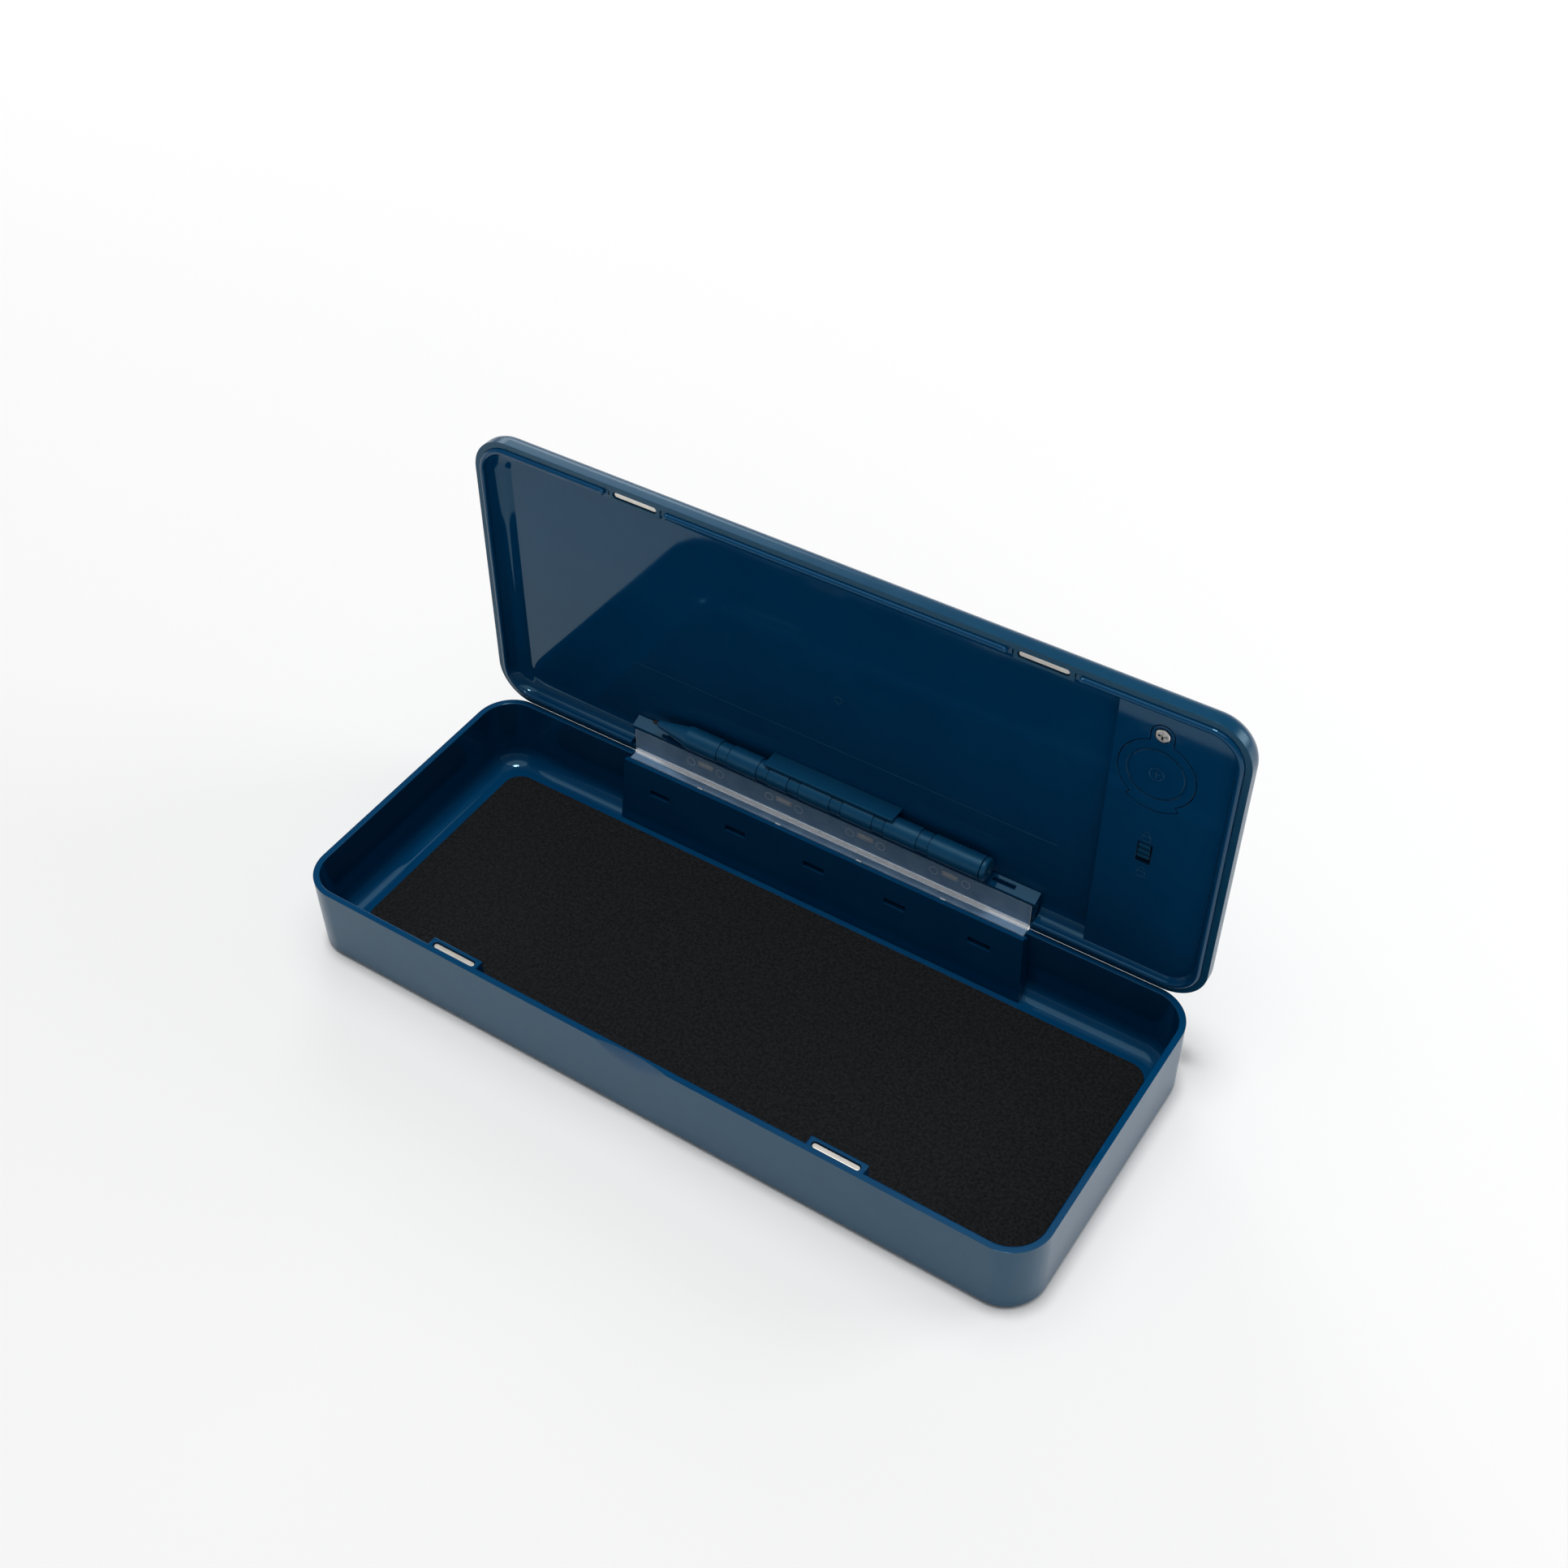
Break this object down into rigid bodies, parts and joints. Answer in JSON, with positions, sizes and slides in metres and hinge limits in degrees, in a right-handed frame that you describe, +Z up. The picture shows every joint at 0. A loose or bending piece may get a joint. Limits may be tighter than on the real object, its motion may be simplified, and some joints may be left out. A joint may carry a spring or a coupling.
{
  "type": "pencil case",
  "caption": "Slim rounded pencil case with a foam-lined tray and a hinged lid that holds a writing screen, battery compartment, lock switch and clip-in stylus.",
  "frame": {"origin": "centre of the tray's underside", "axes": "+X along the length, to the battery end of the lid; +Y from the front, where the thumb notch and magnets are, to the hinge; +Z up out of the tray. The lid stands open at 91.5 degrees."},
  "size_m": [0.25, 0.1116, 0.1281],
  "materials": {
    "navy_satin": "satin navy ABS, moulded in colour",
    "navy_gloss": "high-gloss navy ABS, mirror-like",
    "clear_strip": "clear polypropylene, slightly frosted",
    "eva_foam": "closed-cell EVA foam with a fine open grain",
    "nickel": "bright nickel plate",
    "cell_can": "plain metal can",
    "screen_film": "dark glossy writing film",
    "circuit_green": "green solder mask",
    "black_plastic": "matt black moulding"
  },
  "bodies": {
    "base": {"base_tray": "navy_satin", "base_magnet_left": "nickel", "base_magnet_right": "nickel", "foam_liner": "eva_foam", "base_hinge_cover": "navy_satin", "hinge_strip_lower": "clear_strip"},
    "lid": {"lid_shell": "navy_satin", "lid_inner_panel": "navy_gloss", "lid_magnet_left": "nickel", "lid_magnet_right": "nickel", "lid_hinge_block": "navy_satin", "hinge_strip_upper": "clear_strip", "writing_screen": "screen_film", "screen_ribbon": "black_plastic", "circuit_board": "circuit_green", "lock_switch_housing": "black_plastic", "erase_dome": "nickel", "coin_cell": "cell_can", "battery_holder": "black_plastic", "battery_contact_negative": "nickel", "battery_contact_positive": "nickel"},
    "lock_knob": {"lock_switch_knob": "navy_satin"},
    "erase_key": {"erase_button": "navy_satin"},
    "battery_cover": {"battery_door": "navy_gloss"},
    "cover_screw": {"battery_door_screw": "nickel"},
    "stylus": {"stylus_barrel": "navy_satin", "stylus_nib": "black_plastic", "stylus_end_plug": "navy_satin"}
  },
  "joints": [
    {"name": "lid_hinge", "type": "hinge", "parent": "base", "child": "lid", "pos_m": [0, 0.0505, 0.02715], "axis": [1, 0, 0], "range_deg": [-83.5, 91.5]},
    {"name": "lock_slide", "type": "slide", "parent": "lid", "child": "lock_knob", "axis": [0, -0.0262, -0.9997], "range_m": [0, 0.002]},
    {"name": "erase_press", "type": "slide", "parent": "lid", "child": "erase_key", "axis": [0, -0.9997, 0.0262], "range_m": [0, 0.0004], "stiffness_N_per_m": 3000},
    {"name": "battery_door_tilt", "type": "hinge", "parent": "lid", "child": "battery_cover", "pos_m": [0.1, 0.05349, 0.08989], "axis": [1, 0, 0], "range_deg": [0, 40]},
    {"name": "door_screw_turn", "type": "hinge", "parent": "battery_cover", "child": "cover_screw", "pos_m": [0.1, 0.05417, 0.11588], "axis": [0, -0.9997, 0.0262], "continuous": true},
    {"name": "stylus_release", "type": "slide", "parent": "lid", "child": "stylus", "axis": [0, -0.9997, 0.0262], "range_m": [0, 0.015]}
  ]
}
